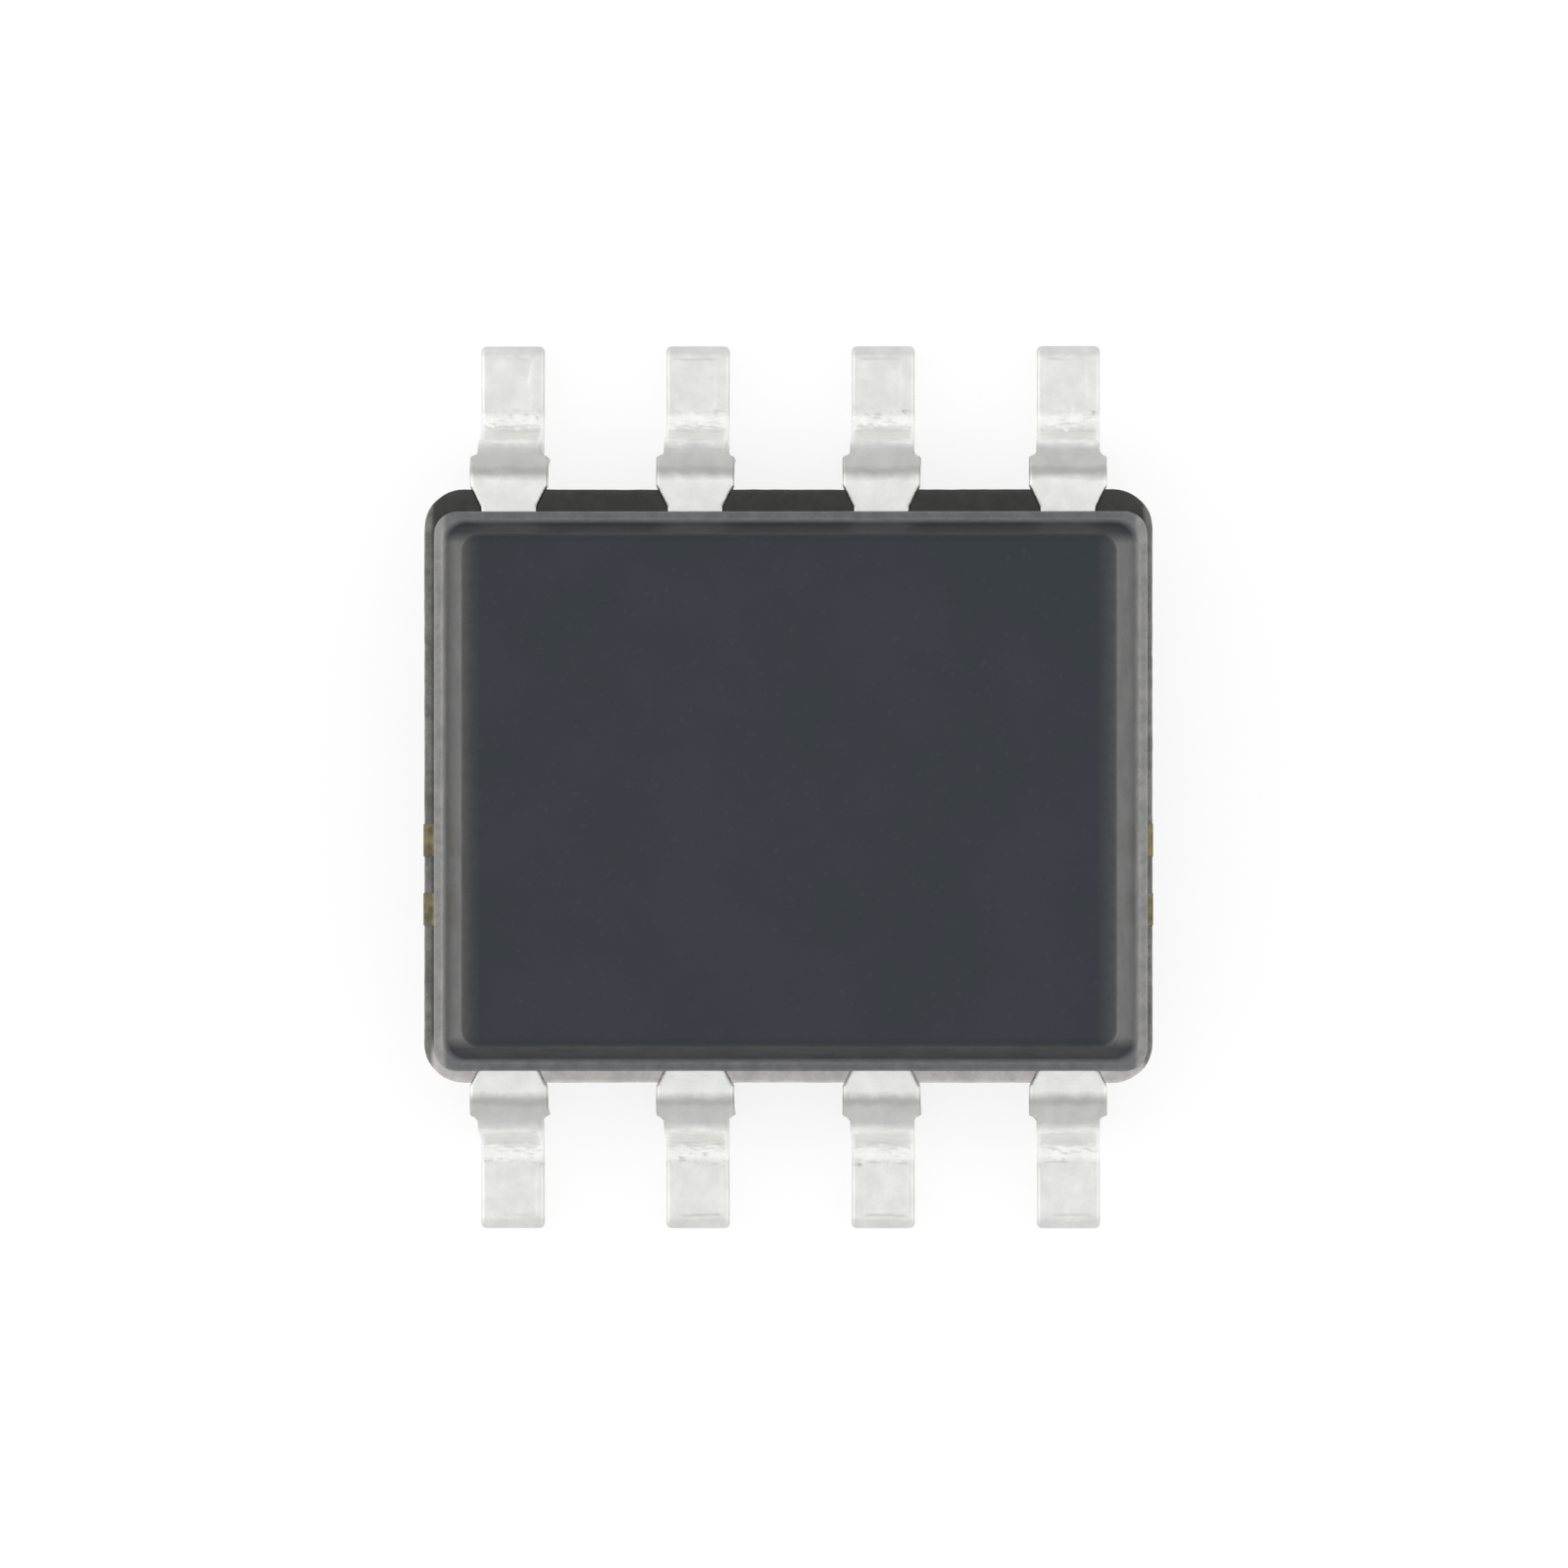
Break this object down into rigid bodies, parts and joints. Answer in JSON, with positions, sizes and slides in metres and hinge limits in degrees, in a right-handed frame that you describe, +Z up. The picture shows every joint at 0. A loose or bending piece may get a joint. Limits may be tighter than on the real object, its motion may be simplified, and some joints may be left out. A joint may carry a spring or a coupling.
{
  "type": "mosfet transistor",
  "caption": "Surface-mount power MOSFET: dark moulded body with two rows of gull-wing terminals, a drain frame, source and gate frames, and a silicon die on gold bond wires inside.",
  "frame": {"origin": "centre of the footprint, on the plane of the eight soles (the circuit board's surface)", "axes": "+X along the rows of terminals with the gate at the +X end of the front row, +Y from the front row (source and gate) to the rear row (drain), +Z up from the board"},
  "size_m": [0.005, 0.006, 0.0016],
  "materials": {
    "epoxy": "dark blue-grey filled epoxy moulding compound with a fine spark-eroded grain",
    "tinned_copper": "matte tin plating over a copper alloy sheet; bare copper inside the body and on the cut tie bars",
    "solder": "dull soft solder",
    "silicon": "sawn and polished silicon with aluminium metal on top",
    "gold": "drawn gold wire"
  },
  "bodies": {
    "root": {"mould_body": "epoxy", "drain_leadframe": "tinned_copper", "source_leadframe": "tinned_copper", "gate_lead": "tinned_copper", "die_attach": "solder", "silicon_die": "silicon", "gate_wire": "gold", "source_wire_01": "gold", "source_wire_02": "gold", "source_wire_03": "gold", "source_wire_04": "gold", "source_wire_05": "gold", "source_wire_06": "gold", "source_wire_07": "gold", "source_wire_08": "gold", "source_wire_09": "gold", "source_wire_10": "gold", "source_wire_11": "gold", "source_wire_12": "gold", "source_wire_13": "gold", "source_wire_14": "gold"}
  },
  "joints": []
}
